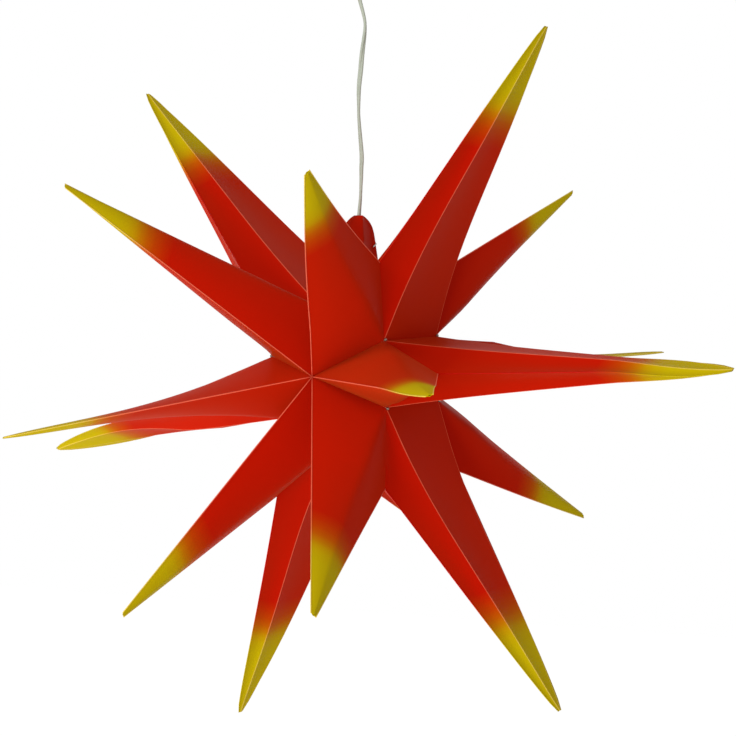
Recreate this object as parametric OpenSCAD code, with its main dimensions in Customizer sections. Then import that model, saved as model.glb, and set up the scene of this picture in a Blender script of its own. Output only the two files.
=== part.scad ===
// Hanging folding star of satin plastic film with an LED lamp inside, on a flat twin cord
// The origin is the middle of the ceiling face, so the whole star hangs in -Z
// The star's pole axis runs along Y, its front pole faces -Y

/* [Star] */
// Reach of the middle ring's points from the star's centre
middle_reach = 375; // [300:1:420]
// Reach of the front and back rings' points from the star's centre
outer_reach = 357; // [290:1:400]
// Angle between the pole axis and the front and back rings' points
ring_angle = 36.5; // [32:0.5:42]
// Distance from the centre to the front and back pole
pole_reach = 92; // [80:1:105]
// Distance of the valley corners from the pole axis
valley_r = 66; // [60:1:72]
// Distance of the valley corners in front of and behind the centre
valley_half = 56; // [45:1:65]
// Distance from the pole axis to the notch between two points
notch_r = 124; // [105:1:140]
// Distance of the notches in front of and behind the centre
notch_half = 80; // [72:1:95]
// How far the front pole dips, in degrees
dip = 3; // [0:0.5:5]

/* [Film] */
// Depth of the film at the core, measured towards the centre
core_skin = 1.4; // [1.1:0.1:2]
// Thickness of the film at the points and in the top tabs
film = 0.8; // [0.6:0.1:1.2]
// Half the width of a point's cut end, in the seam plane
tip_half = 3.2; // [2:0.1:4]
// How far a point's middle crease stands off the seam plane at its cut end
tip_stand = 2.4; // [1.8:0.1:4]
// How far the wide facets swell between their creases
swell = 4; // [0:0.5:6]
// How far the middle ring's points swell past a straight edge, in the seam plane
edge_swell = 5; // [0:0.5:6]

/* [Top tabs] */
// Half the slit between the two end leaves
slit_half = 9.8; // [9.5:0.1:12]
// Height of the top tabs over the leaves' edge
tab_h = 87; // [75:1:95]
// Half the gap between the tabs where the cord comes out
tab_top_gap = 3.6; // [3.4:0.1:4.2]
// Half the width of the tabs at their cut top
tab_tip = 7; // [6.5:0.5:9]
// Wire of the closing clips
clip_wire = 1.2; // [0.8:0.1:1.6]
// Length of a closing clip along the tab's edge
clip_len = 12; // [9:0.5:15]
// Length of a closing clip's arms
clip_arm = 7.5; // [6:0.5:8]
// Diameter of the eye on a closing clip, measured at the wire's middle
clip_eye = 2.4; // [2:0.1:3.2]
// How far a closing clip stands off the tabs' edge
clip_gap = 1.5; // [0.3:0.1:2]
// Diameter of the rivet heads
rivet_d = 3.2; // [2.4:0.1:4]

/* [Cord] */
// Width of the flat twin cord
cord_w = 4.9; // [4.2:0.1:5]
// Thickness of the flat twin cord
cord_t = 2.9; // [2.4:0.1:3.1]
// Height of the ceiling over the star's centre
hang = 410; // [405:1:420]
// Diameter of the cord stop that the star hangs on
stop_d = 10; // [9:0.2:11]
// Height of the cord stop
stop_h = 9; // [7:0.5:10]

/* [Lampholder] */
// Outer diameter of the lampholder's barrel
holder_d = 27; // [26:0.5:29]
// Wall of the lampholder's plastic parts
holder_wall = 1.6; // [1.2:0.1:2]
// Length of the lampholder's barrel
barrel_len = 30; // [28:0.5:33]
// Height of the lampholder's dome over the barrel's top edge
dome_h = 16; // [15:0.5:18]
// Diameter of the neck that takes the cord
neck_d = 12; // [11:0.5:14]
// Height of the neck
neck_h = 14; // [12:0.5:15]
// Height of the barrel's top edge over the star's centre
holder_z = 42; // [40:0.5:44]

/* [Lamp] */
// Diameter of the lamp's screw cap
cap_d = 13.8; // [13.6:0.05:14]
// Length of the lamp's screw cap
cap_len = 18; // [16:0.5:20]
// Diameter of the lamp's globe
globe_d = 45; // [42:0.5:47]
// Wall of the globe
globe_wall = 1.2; // [0.8:0.1:1.8]
// Height of the collar between the screw cap and the globe
collar_h = 17; // [15:0.5:19]
// Diameter of the collar's rim, where the globe seats
collar_d = 36; // [32:0.5:38]

/* [Ceiling rose] */
// Diameter of the rose's base
rose_d = 70; // [66:1:80]
// Thickness of the base's plate
rose_plate = 4; // [3:0.5:6]
// Height of the base's rim, from the ceiling
rose_rim = 12; // [10:0.5:14]
// Height of the cover, from the ceiling
rose_h = 34; // [32:1:36]
// Wall of the cover and of the base's rim
rose_wall = 2; // [1.5:0.1:2.5]
// Distance between the two ceiling screws
screw_pitch = 46; // [40:1:50]
// Diameter of the ceiling screw holes
screw_hole = 4.6; // [4:0.1:5]

/* [Hidden] */
leaf_names = ["leaf_01", "leaf_02", "leaf_03", "leaf_04", "leaf_05", "leaf_06",
              "leaf_07", "leaf_08", "leaf_09", "leaf_10", "leaf_11", "leaf_12"];

// How the six seams hang round the pole axis, with the wider gap left for the cord at the top
seam_az = [57, 1, -57, -113, -168, -231];
slit_az = acos(slit_half / valley_r);
// How far each of the five joined folds turns from the middle between its seams
fold_turn = [0, 0, 0, 0, 4];
// The points bend a little off their places, as measured in the photograph. Each seam has a front, a middle
// and a back point, and each of them a shift of its angle to the pole axis, of its azimuth and of its reach
point_shift = [[[-0.85, 0.15, 0.25], [0, 0.25, 1.5], [0, 0.5, 0]],
               [[0.5, -2, 0.5], [0, -0.75, -1.5], [0, 0.5, 0]],
               [[-0.25, -2.5, 2], [0, -0.25, 1.5], [0.5, 1.5, 0]],
               [[0, 0, 0], [-0.25, 0.25, 3], [1.5, 1.5, 0]],
               [[0, 0, 0], [-0.25, 0.75, 2], [0, 0, 0]],
               [[2, -1.5, 1], [0, 0.75, -2], [2, 6.5, -10]]];
// Degrees that a point's end is twisted about its axis, over the last stretch of its length
point_twist = [[0, 0, 0], [15, 20, 0], [0, 0, 0], [0, 0, 0], [0, 22, 0], [0, 0, 0]];
twist_run = [110, 110, 110, 110, 240, 110];
// How much flatter a point is pressed behind its cut end, most at a third of the stretch
point_press = [[0.3, 0, 0.3], [0.4, 0, 0.75], [0.3, 0, 0.3], [0.2, 0, 0], [0.6, 0.6, 0], [0.05, 0, 0]];
press_run = [[210, 190, 210], [210, 190, 210], [210, 190, 210],
             [210, 190, 210], [260, 190, 210], [210, 190, 210]];
// How much flatter the middle points are pressed towards the core
core_press = [0.3, 0.08, 0.33, 0.35, 0, 0.15];
core_run = middle_reach - 60;
// How far the middle of a point bows in the seam plane, towards the back
point_bow = [[-2.5, 0, 0], [0, 0, 0], [0, 0, -2], [0, 3.5, 0], [0, 0, 0], [0, 0, 0]];
bow_run = [210, 250, 210];
point_angle = [ring_angle, 90, 180 - ring_angle];
point_reach = [outer_reach, middle_reach, outer_reach];
// Cells along and across one facet of a leaf
cells_u = 4;
cells_v = 3;
// Swell of the seven facets of a leaf, front pole to back pole, as shares of swell
facet_swell = [0.7, 0.3, -0.5, -0.6, -0.5, 0.3, 0.7];
run = 0.3;
edge_z = valley_r * sin(slit_az);
film_red = "#b81408";
film_yellow = "#c8b400";
metal = "#a8a49c";
moulded = "#e8e6dc";

// Places in the star's own frame, given by distance from the pole axis, azimuth and depth
function at_pole(r, az, depth) = [r * cos(az), depth, r * sin(az)];
function unit(v) = v / norm(v);
function mix(a, b, t) = a + (b - a) * t;
function seam(leaf) = seam_az[floor(leaf / 2)];
// The first and last leaf end at the slit, the others about half way to the next seam
function fold(leaf) =
    leaf == 0 ? slit_az :
    leaf == 11 ? 180 - slit_az - 360 :
    (leaf % 2 == 0 ? seam(leaf) + seam(leaf - 1) : seam(leaf) + seam(leaf + 1)) / 2
    + fold_turn[floor((leaf - 1) / 2)];
function side_of(leaf) = fold(leaf) > seam(leaf) ? 1 : -1;

// The corners of a leaf, and the cut end of one of its points with its standing crease
function valley(leaf, y) = at_pole(valley_r, fold(leaf), y * valley_half);
function notch(leaf, y) = at_pole(notch_r, seam(leaf), y * notch_half);
function pole(y) = [0, y * pole_reach, 0];
function shift(leaf, which) = point_shift[floor(leaf / 2)][which];
function point_axis(leaf, which, turn = 0) =
    let (angle = point_angle[which] + shift(leaf, which)[0] + turn)
    at_pole(sin(angle), seam(leaf) + shift(leaf, which)[1], -cos(angle));
function seam_off(leaf) = [-sin(seam(leaf)), 0, cos(seam(leaf))];
function end_reach(leaf, which) = point_reach[which] + shift(leaf, which)[2];
function point_end(leaf, which, across, stand) =
    point_axis(leaf, which) * end_reach(leaf, which)
    + point_axis(leaf, which, 90) * across * tip_half
    + seam_off(leaf) * side_of(leaf) * stand * tip_stand;
// Swells, presses, bows and twists a place on a point, the more the nearer it is to the cut end
function bent(p, leaf, which) =
    let (
        axis = point_axis(leaf, which),
        twist = point_twist[floor(leaf / 2)][which],
        back = end_reach(leaf, which) - p * axis,
        over = point_axis(leaf, which, 90),
        off = unit(cross(axis, over)),
        grown = min(1, max(0, back) / (middle_reach - notch_r)),
        wider = which == 1 ? edge_swell * sin(180 * sqrt(grown)) / mix(tip_half, notch_half, grown) : 0,
        pressed = min(1, max(0, back) / press_run[floor(leaf / 2)][which]),
        sunken = which == 1 ? core_press[floor(leaf / 2)] * sin(180 * pow(min(1, max(0, back) / core_run), 1.5)) : 0,
        flat = point_press[floor(leaf / 2)][which] * sin(180 * pow(pressed, 0.7)) + sunken,
        bow = point_bow[floor(leaf / 2)][which] * sin(180 * min(1, max(0, back) / bow_run[which])),
        low = p - off * (p * off) * flat + over * ((p * over) * wider + bow),
        t = min(1, max(0, 1 - back / twist_run[floor(leaf / 2)])),
        turn = twist * t * t * (3 - 2 * t),
        along = axis * (low * axis)
    )
    along + (low - along) * cos(turn) + cross(axis, low) * sin(turn);

// One strip of a leaf for each of its points: the corners along the core, then those at the cut end
function strips(leaf) = [
    [[pole(-1), valley(leaf, -1), notch(leaf, -1)],
     [for (a = [[-1, 0], [0, 1], [1, 0]]) point_end(leaf, 0, a[0], a[1])]],
    [[notch(leaf, -1), valley(leaf, -1), valley(leaf, 1), notch(leaf, 1)],
     [for (a = [[-1, 0], [-0.3, 1], [0.3, 1], [1, 0]]) point_end(leaf, 1, a[0], a[1])]],
    [[notch(leaf, 1), valley(leaf, 1), pole(1)],
     [for (a = [[-1, 0], [0, 1], [1, 0]]) point_end(leaf, 2, a[0], a[1])]]];
facet_start = [0, 2, 5];
function sunk(p, deep) = p - unit(p) * deep;
function drawn_in(ends) =
    let (mid = (ends[0] + ends[len(ends) - 1]) / 2)
    [for (p = ends) p - unit(p - mid) * film];

// A point on the outer skin, or on the inner skin with deep = 1
function skin_point(leaf, strip, which, u, v, deep, side) =
    let (
        core = deep == 1 ? [for (p = strip[0]) sunk(p, core_skin)] : strip[0],
        ends = deep == 1 ? drawn_in(strip[1]) : strip[1],
        cell = min(floor(v), len(core) - 2),
        t = v - cell,
        a = mix(core[cell], core[cell + 1], t),
        b = mix(ends[cell], ends[cell + 1], t),
        across = strip[0][cell + 1] - strip[0][cell],
        along = strip[1][cell] - strip[0][cell],
        out = unit(cross(along, across)) * side
    )
    bent(mix(a, b, u) + out * swell * facet_swell[facet_start[which] + cell]
         * sin(180 * t) * sin(180 * pow(u, 0.7)), leaf, which);

function rows_of(which) = (which == 1 ? 3 : 2) * cells_v;
row_start = [0, (cells_u + 1) * (rows_of(0) + 1), (cells_u + 1) * (rows_of(0) + rows_of(1) + 2)];
skin_count = (cells_u + 1) * (rows_of(0) + rows_of(1) + rows_of(2) + 3);
// Neighbouring strips share the fold from the notch to the valley corner
function spot(which, i, j) =
    which == 1 && i == 0 && j <= cells_v ? spot(0, 0, 2 * cells_v - j) :
    which == 2 && i == 0 && j <= cells_v ? spot(1, 0, 3 * cells_v - j) :
    row_start[which] + i * (rows_of(which) + 1) + j;

function quad(a, b, c, d) = [[a, b, c], [a, c, d]];
function rim(a, b) = quad(a, b, b + skin_count, a + skin_count);
function flipped(faces) = [for (f = faces) [f[2], f[1], f[0]]];
function leaf_faces() = [
    for (s = [0 : 2]) each [
        for (i = [0 : cells_u - 1]) for (j = [0 : rows_of(s) - 1])
            let (q = [spot(s, i, j), spot(s, i, j + 1), spot(s, i + 1, j + 1), spot(s, i + 1, j)])
            each concat(quad(q[0], q[1], q[2], q[3]),
                        flipped(quad(q[0] + skin_count, q[1] + skin_count,
                                     q[2] + skin_count, q[3] + skin_count))),
        for (j = [0 : rows_of(s) - 1]) each rim(spot(s, cells_u, j), spot(s, cells_u, j + 1)),
        for (i = [0 : cells_u - 1]) each concat(
            rim(spot(s, i, 0), spot(s, i + 1, 0)),
            rim(spot(s, i + 1, rows_of(s)), spot(s, i, rows_of(s))))
    ],
    for (j = [0 : cells_v - 1]) each concat(
        rim(spot(0, 0, j + 1), spot(0, 0, j)),
        rim(spot(1, 0, cells_v + j + 1), spot(1, 0, cells_v + j)),
        rim(spot(2, 0, cells_v + j + 1), spot(2, 0, cells_v + j)))
];

module leaf_skin(leaf) {
    parts = strips(leaf);
    side = side_of(leaf);
    skins = [for (deep = [0, 1]) for (s = [0 : 2]) for (i = [0 : cells_u]) for (j = [0 : rows_of(s)])
        skin_point(leaf, parts[s], s, i / cells_u, j / cells_v, deep, side)];
    faces = leaf_faces();
    polyhedron(skins, side > 0 ? faces : flipped(faces), convexity = 10);
}

// A top tab rises from an end leaf's edge. It swells round the cord and closes at its sides
tab_rows = 7;
tab_cols = 8;
tab_sink = 0.5;
function tab_half(s) = sqrt(mix(pow(valley_half, 2), pow(tab_tip, 2), s / tab_h));
function tab_edge_x(s) = max(film / 2, slit_half * (1 - s / (0.42 * tab_h)));
function tab_mid_x(s) = mix(slit_half, tab_top_gap, s / tab_h);
// The tabs lean so that the plumb line through the star's centre leaves them at their middle
function tab_lean(s) = s / tab_h * (edge_z + tab_h) * tan(dip);
// A flat rim on both sides takes the clips
function tab_swell(v) = abs(v) > 0.75 ? 0 : 0.5 + 0.5 * cos(abs(v) * 240);
function tab_point(k, v, skin) =
    let (
        t = k / tab_rows,
        s = k == 0 ? 0 : tab_h * (1 - pow(1 - t, 1.5)),
        x = mix(tab_edge_x(s), max(tab_mid_x(s), tab_edge_x(s)), tab_swell(v))
    )
    [x + skin * film, (k == 0 ? 0.94 : 1) * tab_half(s) * v + tab_lean(s), edge_z + s - (k == 0 ? tab_sink : 0)];
function tab_spot(k, c, skin) = (skin * (tab_rows + 1) + k) * (tab_cols + 1) + c;
module tab_skin() {
    spots = [for (skin = [0, 1]) for (k = [0 : tab_rows]) for (c = [0 : tab_cols])
        tab_point(k, 2 * c / tab_cols - 1, skin)];
    ring = concat([for (c = [0 : tab_cols - 1]) [0, c]], [for (k = [0 : tab_rows - 1]) [k, tab_cols]],
                  [for (c = [tab_cols : -1 : 1]) [tab_rows, c]], [for (k = [tab_rows : -1 : 1]) [k, 0]]);
    faces = [
        for (k = [0 : tab_rows - 1]) for (c = [0 : tab_cols - 1]) each concat(
            quad(tab_spot(k, c, 0), tab_spot(k, c + 1, 0), tab_spot(k + 1, c + 1, 0), tab_spot(k + 1, c, 0)),
            flipped(quad(tab_spot(k, c, 1), tab_spot(k, c + 1, 1),
                         tab_spot(k + 1, c + 1, 1), tab_spot(k + 1, c, 1)))),
        for (n = [0 : len(ring) - 1])
            let (a = ring[n], b = ring[(n + 1) % len(ring)])
            each quad(tab_spot(b[0], b[1], 0), tab_spot(a[0], a[1], 0), tab_spot(a[0], a[1], 1), tab_spot(b[0], b[1], 1))
    ];
    polyhedron(spots, faces, convexity = 6);
}

module in_star() {
    translate([0, 0, -hang])
        rotate([dip, 0, 0])
            children();
}

module leaf(index) {
    color(film_red)
        in_star()
            union() {
                leaf_skin(index);
                if (index == 0)
                    tab_skin();
                if (index == 11)
                    mirror([1, 0, 0])
                        tab_skin();
            }
}

// Small rivets through the film at the valley corners of the five joined folds
module leaf_rivets() {
    shank = 1.4;
    lift = 1.4;
    color(metal)
        in_star()
            for (leaf = [1 : 2 : 9])
                for (y = [-1, 1])
                    translate(valley(leaf, y))
                        rotate([0, 90 - fold(leaf), 0]) {
                            translate([0, 0, lift])
                                sphere(d = rivet_d, $fn = 24);
                            translate([0, 0, -core_skin - 0.9])
                                cylinder(d = shank, h = core_skin + 0.9 + lift, $fn = 24);
                            translate([0, 0, -core_skin - 1.7])
                                cylinder(d = rivet_d, h = 0.8, $fn = 24);
                        }
}

// A bent wire clip over the closed side edges of both tabs, one arm on each side
module clip(y) {
    s_mid = 0.62 * tab_h;
    lean = -atan(y * (tab_half(s_mid + 1) - tab_half(s_mid - 1)) / 2 + tab_lean(1));
    reach = tab_edge_x(s_mid) + film + run + clip_wire / 2;
    out = clip_wire / 2 + clip_gap;
    color(metal)
        in_star()
            translate([0, y * (tab_half(s_mid) + out) + tab_lean(s_mid), edge_z + s_mid])
                rotate([lean, 0, 0]) {
                    cylinder(d = clip_wire, h = clip_len, center = true, $fn = 24);
                    translate([0, y * clip_eye / 2, clip_len / 2])
                        rotate([0, 90, 0])
                            rotate_extrude($fn = 32)
                                translate([clip_eye / 2, 0])
                                    circle(d = clip_wire, $fn = 24);
                    for (end = [-1, 1])
                        translate([0, 0, end * clip_len / 2]) {
                            sphere(d = clip_wire, $fn = 24);
                            rotate([0, end * 90, 0])
                                cylinder(d = clip_wire, h = reach, $fn = 24);
                            translate([end * reach, 0, 0]) {
                                sphere(d = clip_wire, $fn = 24);
                                rotate([y * 90, 0, 0])
                                    cylinder(d = clip_wire, h = clip_arm, $fn = 24);
                            }
                        }
                }
}

// The cord's route: sideways to the right, backwards, and up from the star's centre
cord_route = [[0, 0, 375], [0, 0, 371], [0.3, 0, 366], [1.8, 0.3, 360], [4, 0.8, 352], [5.8, 1.2, 344],
              [6.3, 1.4, 338], [5.8, 1.4, 330], [4.8, 1.3, 322], [3.6, 1, 313], [2.7, 0.6, 304], [1.9, 0.2, 294],
              [0.8, -0.2, 284], [0.1, -0.6, 274], [0, -1, 262], [0, -1, 252], [0.4, -1, 244], [1, -0.8, 236],
              [1.7, -0.6, 227], [2.5, -0.2, 218], [3, 0, 208], [2.6, 0.3, 199], [2.5, 0.5, 190], [2.2, 0.5, 181],
              [1.9, 0.4, 172], [1.3, 0.3, 164], [0.6, 0.1, 156], [0.2, 0, 148], [0, 0, 140], [0, 0, 128],
              [0, 0, 116], [0, 0, 104], [0, 0, 92], [0, 0, 81], [0, 0, 72], [0, 0, 64], [0, 0, 58]];
// The flat cord turns as it hangs, and lies flat between the tabs
function twist_at(z) = lookup(z, [[150, -90], [183, -50], [207, -15], [254, -62], [300, 28], [340, 118], [371, 150]]);
cord_twist = [for (p = cord_route) twist_at(p[2])];
cord_sides = 12;
view_az = 28;
function sideways(p) = [p[0] * cos(view_az) - p[1] * sin(view_az), p[0] * sin(view_az) + p[1] * cos(view_az), p[2]];
// The round-ended outline of the flat twin cord
function cord_outline(a) = let (r = cord_t / 2, half = (cord_w - cord_t) / 2)
    [r * cos(a) + (cos(a) > 0.01 ? half : cos(a) < -0.01 ? -half : 0), r * sin(a)];
module swept_cord(route, twist) {
    n = len(route);
    rings = [for (k = [0 : n - 1])
        let (
            ahead = k == 0 || k == n - 1 ? [0, 0, -1] : unit(route[k + 1] - route[k - 1]),
            wide = unit(cross([-sin(twist[k]), cos(twist[k]), 0], ahead)),
            thick = cross(ahead, wide)
        )
        for (c = [0 : cord_sides - 1])
            let (o = cord_outline((c + 0.5) * 360 / cord_sides))
            route[k] + wide * o[0] + thick * o[1]];
    faces = concat(
        [[for (c = [cord_sides - 1 : -1 : 0]) c]],
        [for (k = [0 : n - 2]) for (c = [0 : cord_sides - 1])
            let (a = k * cord_sides + c, b = k * cord_sides + (c + 1) % cord_sides)
            each quad(a, b, b + cord_sides, a + cord_sides)],
        [[for (c = [0 : cord_sides - 1]) (n - 1) * cord_sides + c]]);
    polyhedron(rings, faces, convexity = 4);
}
module cord() {
    color("#bcbcac")
        swept_cord([for (p = cord_route) sideways(p) - [0, 0, hang]], cord_twist);
}

// The stop is clamped on the cord inside the tabs, which rest on its shoulder
stop_z = edge_z + tab_h * (slit_half - stop_d / 2 - run) / (slit_half - tab_top_gap);
stop_bore = cord_w + 2 * run;
module cord_stop() {
    color(moulded)
        translate([0, 0, stop_z - hang])
            difference() {
                rotate_extrude($fn = 48)
                    polygon([[0, -stop_h], [stop_d / 2 - 0.6, -stop_h], [stop_d / 2, -stop_h + 0.6],
                             [stop_d / 2, -1], [stop_d / 2 - 1, 0], [0, 0]]);
                translate([0, 0, -stop_h - 1])
                    cylinder(d = stop_bore, h = stop_h + 2, $fn = 48);
                translate([0, 0, -stop_h / 2])
                    rotate([90, 0, twist_at_stop])
                        cylinder(d = 2.5, h = stop_d, $fn = 32);
            }
}
twist_at_stop = 0;
module stop_screw() {
    color(metal)
        translate([0, 0, stop_z - stop_h / 2 - hang])
            rotate([90, 0, twist_at_stop])
                translate([0, 0, cord_w / 2 + 0.1])
                    difference() {
                        cylinder(d = 2.5 - 0.1, h = stop_d / 2 - cord_w / 2 - 0.2, $fn = 32);
                        translate([0, 0, stop_d / 2 - cord_w / 2 - 0.8])
                            translate([-2, -0.25, 0])
                                cube([4, 0.5, 1]);
                    }
}

// Lampholder, from the neck down to the barrel's mouth
holder_r = holder_d / 2;
dome_skirt = 3;
neck_z = holder_z + dome_h;
module holder_dome() {
    color(moulded)
        translate([0, 0, holder_z - hang])
            difference() {
                rotate_extrude($fn = 72)
                    polygon([[0, -dome_skirt], [holder_r, -dome_skirt], [holder_r, dome_h - 9],
                             [holder_r - 0.8, dome_h - 7], [neck_d / 2 + 1.5, dome_h - 1.5],
                             [neck_d / 2, dome_h], [neck_d / 2, dome_h + neck_h - 0.8],
                             [neck_d / 2 - 0.8, dome_h + neck_h], [0, dome_h + neck_h]]);
                rotate_extrude($fn = 72)
                    polygon([[0, -dome_skirt - 1], [holder_r - holder_wall, -dome_skirt - 1],
                             [holder_r - holder_wall, dome_h - 9.5], [neck_d / 2, dome_h - 3.5],
                             [stop_bore / 2 + 0.4, dome_h - 1], [0, dome_h - 1]]);
                cylinder(d = stop_bore, h = dome_h + neck_h + 1, $fn = 48);
                translate([0, 0, dome_h + neck_h / 2])
                    rotate([90, 0, 0])
                        cylinder(d = 4, h = neck_d, $fn = 32);
            }
}
module neck_screw() {
    color(moulded)
        translate([0, 0, neck_z + neck_h / 2 - hang])
            rotate([90, 0, 0])
                translate([0, 0, cord_w / 2 + 0.1])
                    difference() {
                        cylinder(d = 4 - 0.1, h = neck_d / 2 - cord_w / 2 + 0.4, $fn = 32);
                        translate([-3, -0.4, neck_d / 2 - cord_w / 2 - 0.6])
                            cube([6, 0.8, 2]);
                    }
}
barrel_r = holder_r - holder_wall - run;
module holder_barrel() {
    color(moulded)
        translate([0, 0, holder_z - hang])
            difference() {
                rotate_extrude($fn = 72)
                    polygon([[barrel_r - holder_wall, 0], [barrel_r, 0], [barrel_r, -dome_skirt - run],
                             [holder_r, -dome_skirt - run], [holder_r, -barrel_len + 0.8],
                             [holder_r - 0.8, -barrel_len], [barrel_r - holder_wall, -barrel_len]]);
                for (turn = [0 : 30 : 330])
                    rotate([0, 0, turn])
                        translate([holder_r, 0, -barrel_len + 4])
                            cylinder(d = 1.6, h = barrel_len - dome_skirt - 8, $fn = 16);
            }
}
insert_r = barrel_r - holder_wall - 0.05;
insert_h = 10;
insert_z = holder_z - 1 - insert_h;
shell_r = cap_d / 2 + 0.15;
module holder_insert() {
    color("#d8d4c8")
        translate([0, 0, insert_z - hang])
            difference() {
                union() {
                    cylinder(r = insert_r, h = insert_h, $fn = 64);
                    translate([0, 0, -4])
                        cylinder(r = shell_r + 2.1, h = 4, $fn = 64);
                }
                translate([0, 0, -5])
                    cylinder(r = shell_r + 0.55, h = 5, $fn = 64);
                for (x = [-1, 1])
                    translate([x * 6, 0, insert_h - 6])
                        cylinder(d = 4, h = 7, $fn = 32);
            }
}
module holder_thread() {
    color("#c8a850")
        translate([0, 0, insert_z - hang])
            difference() {
                rotate_extrude($fn = 64)
                    polygon([[shell_r, 0], [shell_r + 0.5, 0], [shell_r + 0.5, -16],
                             [shell_r + 1.6, -17], [shell_r + 1.6, -17.5], [shell_r, -17.5]]);
            }
}
module holder_contact() {
    color("#c8a850")
        translate([0, 0, insert_z - hang]) {
            translate([-1.8, -5, -0.5])
                cube([3.6, 10, 0.5]);
            translate([0, 0, -1])
                cylinder(d = 3, h = 0.6, $fn = 32);
        }
}
module holder_terminals() {
    color("#c8a850")
        translate([0, 0, insert_z - hang])
            for (x = [-1, 1])
                translate([x * 6, 0, insert_h - 6])
                    difference() {
                        cylinder(d = 3.9, h = 7.4, $fn = 32);
                        translate([-3, -0.35, 6.6])
                            cube([6, 0.7, 1]);
                    }
}

// Lamp: screw cap with its glass and contact, collar, LED board and globe
cap_top = insert_z - 3.2;
cap_z = cap_top - cap_len;
collar_z = cap_z - collar_h;
globe_r = globe_d / 2;
globe_drop = sqrt(globe_r * globe_r - collar_d * collar_d / 4);
globe_z = collar_z - globe_drop;
module lamp_cap() {
    color("#c0c0bc")
        translate([0, 0, cap_z - hang])
            difference() {
                rotate_extrude($fn = 64)
                    polygon([[0, 0], [cap_d / 2, 0], [cap_d / 2, cap_len - 3],
                             [cap_d / 2 - 0.8, cap_len - 1.8], [cap_d / 2 - 2.4, cap_len],
                             [0, cap_len]]);
                translate([0, 0, -1])
                    cylinder(d = cap_d - 0.8, h = cap_len - 2, $fn = 64);
                cylinder(d = 6, h = cap_len + 1, $fn = 48);
            }
}
module cap_glass() {
    color("#202024")
        translate([0, 0, cap_top - hang])
            difference() {
                rotate_extrude($fn = 48)
                    polygon([[0, -2.6], [2.95, -2.6], [2.95, 0], [4.1, 0], [3.2, 1.2], [0, 1.2]]);
                translate([0, 0, -3])
                    cylinder(d = 2, h = 5, $fn = 32);
            }
}
module cap_contact() {
    color("#b4b4b0")
        translate([0, 0, cap_top - hang]) {
            translate([0, 0, -2.6])
                cylinder(d = 1.96, h = 3.9, $fn = 32);
            translate([0, 0, 1.2])
                rotate_extrude($fn = 48)
                    polygon([[0, 0], [2.4, 0], [1.6, 0.8], [0, 0.9]]);
        }
}
module lamp_collar() {
    color("#f0efe8")
        translate([0, 0, collar_z - hang])
            difference() {
                rotate_extrude($fn = 96)
                    polygon([[0, 0], [collar_d / 2, 0], [collar_d / 2, 1.6], [collar_d / 2 - 2.2, 5],
                             [collar_d / 2 - 6.5, 9.5], [cap_d / 2 + 1, collar_h - 3],
                             [cap_d / 2 + 0.4, collar_h], [0, collar_h]]);
                rotate_extrude($fn = 96)
                    polygon([[0, -1], [collar_d / 2 - 1.6, -1], [collar_d / 2 - 1.6, 1.6],
                             [collar_d / 2 - 3.8, 4.6], [collar_d / 2 - 8, 9],
                             [cap_d / 2 - 1.2, collar_h - 3], [cap_d / 2 - 1.2, collar_h + 1],
                             [0, collar_h + 1]]);
            }
}
board_r = collar_d / 2 - 2.6;
module led_board() {
    color("#e8e8e4")
        translate([0, 0, collar_z + 0.2 - hang])
            difference() {
                cylinder(r = board_r, h = 1.2, $fn = 64);
                translate([0, 0, -1])
                    cylinder(d = 4, h = 3, $fn = 32);
            }
}
module led_chips() {
    color("#f4dc60")
        translate([0, 0, collar_z + 0.2 - hang])
            for (turn = [0 : 45 : 315])
                rotate([0, 0, turn])
                    translate([board_r - 5.5, -1.4, -0.8])
                        cube([3.5, 2.8, 0.8]);
}
module lamp_globe() {
    color("#fbfaf4")
        translate([0, 0, globe_z - hang])
            difference() {
                sphere(r = globe_r, $fn = 96);
                sphere(r = globe_r - globe_wall, $fn = 96);
                translate([0, 0, globe_drop - 0.1])
                    cylinder(d = globe_d, h = globe_d, $fn = 96);
            }
}

// Ceiling rose: base, cover, and what holds and joins the cord inside it
base_r = rose_d / 2;
hook_r = 3;
module rose_base() {
    color(moulded)
        difference() {
            union() {
                translate([0, 0, -rose_plate])
                    cylinder(r = base_r, h = rose_plate, $fn = 96);
                translate([0, 0, -rose_rim])
                    difference() {
                        cylinder(r = base_r - rose_wall - run, h = rose_rim - 1, $fn = 96);
                        translate([0, 0, -1])
                            cylinder(r = base_r - 2 * rose_wall - run, h = rose_rim + 1, $fn = 96);
                    }
            }
            for (x = [-1, 1])
                translate([x * screw_pitch / 2, 0, -rose_plate - 1])
                    cylinder(d = screw_hole, h = rose_plate + 2, $fn = 48);
            translate([0, 18, -rose_plate - 1])
                cylinder(d = 11, h = rose_plate + 2, $fn = 48);
        }
}
cover_gap = 0.3;
module rose_cover() {
    bottom = rose_h;
    color(moulded)
        difference() {
            rotate_extrude($fn = 96)
                polygon([[0, -bottom - 3], [5.2, -bottom - 3], [6, -bottom - 2], [6.4, -bottom + 0.5],
                         [14, -bottom + 2], [23, -bottom + 6.5], [29, -bottom + 12],
                         [base_r - 1.2, -rose_rim - 4], [base_r, -rose_rim],
                         [base_r, -rose_plate - cover_gap], [0, -rose_plate - cover_gap]]);
            rotate_extrude($fn = 96)
                polygon([[0, -bottom + 3], [12, -bottom + 4.2], [21.5, -bottom + 8.6],
                         [27.4, -bottom + 14], [base_r - rose_wall - 1.2, -rose_rim - 4],
                         [base_r - rose_wall, -rose_rim], [base_r - rose_wall, 0], [0, 0]]);
            rotate_extrude($fn = 48)
                polygon([[0, -bottom - 4], [4.6, -bottom - 4], [4.4, -bottom - 3], [stop_bore / 2 + 0.5, -bottom],
                         [stop_bore / 2 + 0.5, -bottom + 4], [0, -bottom + 4]]);
        }
}
anchor_z = -16;
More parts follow.
